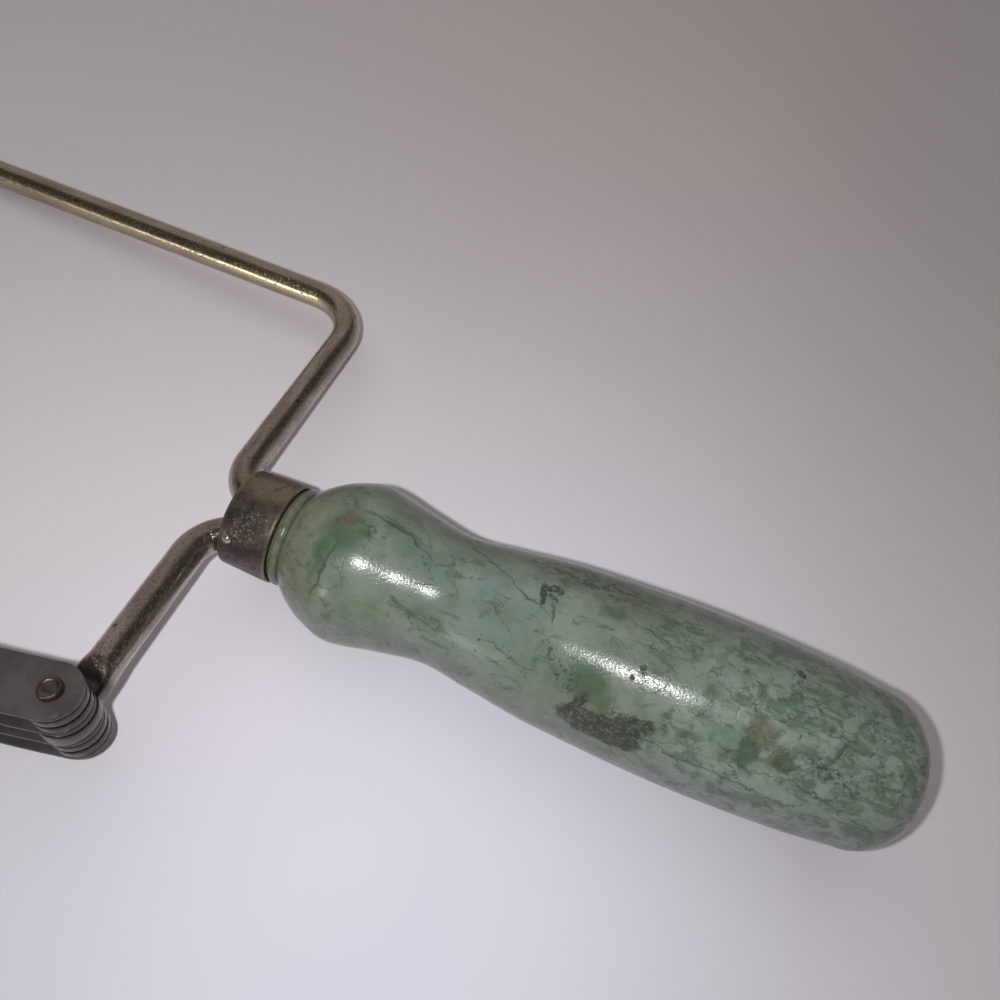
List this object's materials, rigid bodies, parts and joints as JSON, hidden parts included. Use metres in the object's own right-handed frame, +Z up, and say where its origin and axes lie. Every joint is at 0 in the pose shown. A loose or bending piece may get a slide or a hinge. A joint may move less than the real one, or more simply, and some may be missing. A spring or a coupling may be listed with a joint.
{
  "type": "pastry cutter",
  "caption": "Hand pastry cutter with a turned wooden handle, a frame of two bent steel rods, and parallel bowed strip blades riveted between the rods' flattened eyes.",
  "frame": {"origin": "bottom centre of the object's box, on the table that it lies on", "axes": "+X runs from the blades to the end of the handle, +Y from the blades to the long rod, and +Z is up as it lies flat"},
  "size_m": [0.2152, 0.099, 0.0294],
  "materials": {
    "worn_green_paint": "turned wood under glossy mint green paint, chipped and cracked",
    "tarnished_nickel": "nickel plated steel rod, tarnished brown",
    "dull_ferrule_plate": "plated sheet steel, dull and speckled",
    "grey_blade_steel": "dark grey spring steel, rubbed",
    "browned_washer_steel": "steel browned by light rust",
    "bronzed_rivet": "steel rivet with a bronze brown tarnish",
    "brass_brad": "small polished brass brad"
  },
  "bodies": {
    "root": {"handle": "worn_green_paint", "ferrule": "dull_ferrule_plate", "ferrule_brad": "brass_brad", "upper_rod": "tarnished_nickel", "lower_rod": "tarnished_nickel", "blade_1": "grey_blade_steel", "blade_2": "grey_blade_steel", "blade_3": "grey_blade_steel", "blade_4": "grey_blade_steel", "near_washer_1": "browned_washer_steel", "near_washer_2": "browned_washer_steel", "near_washer_3": "browned_washer_steel", "near_washer_4": "browned_washer_steel", "far_washer_1": "browned_washer_steel", "far_washer_2": "browned_washer_steel", "far_washer_3": "browned_washer_steel", "far_washer_4": "browned_washer_steel", "near_rivet": "bronzed_rivet", "far_rivet": "bronzed_rivet"}
  },
  "joints": []
}
